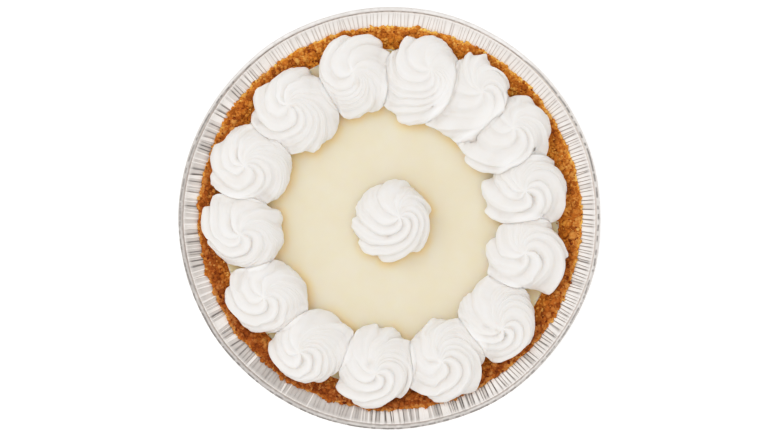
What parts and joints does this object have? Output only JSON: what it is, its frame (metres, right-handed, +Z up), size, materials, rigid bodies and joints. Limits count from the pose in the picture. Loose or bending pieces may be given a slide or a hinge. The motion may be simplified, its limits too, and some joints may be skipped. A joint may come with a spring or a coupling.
{
  "type": "key lime pie",
  "caption": "Whole key lime pie in a pleated foil tin: crumb crust, smooth pale filling and piped rosettes of whipped cream round its edge and in its middle.",
  "frame": {"origin": "on the surface that the tin stands on, on the axis of its round rim", "axes": "+Z up along the tin's axis, +Y away from the viewer, towards the top of the picture, and +X to its right"},
  "size_m": [0.229, 0.229, 0.0421],
  "materials": {
    "foil": "thin bright foil, stamped in fine pleats",
    "crust": "baked biscuit crumbs, rough and matt",
    "filling": "set custard, smooth with a soft sheen",
    "cream": "whipped cream, smooth and softly matt"
  },
  "bodies": {
    "root": {"foil_tin": "foil", "crumb_crust": "crust", "lime_filling": "filling", "cream_rosette_01": "cream", "cream_rosette_02": "cream", "cream_rosette_03": "cream", "cream_rosette_04": "cream", "cream_rosette_05": "cream", "cream_rosette_06": "cream", "cream_rosette_07": "cream", "cream_rosette_08": "cream", "cream_rosette_09": "cream", "cream_rosette_10": "cream", "cream_rosette_11": "cream", "cream_rosette_12": "cream", "cream_rosette_13": "cream", "cream_rosette_14": "cream", "cream_rosette_centre": "cream"}
  },
  "joints": []
}
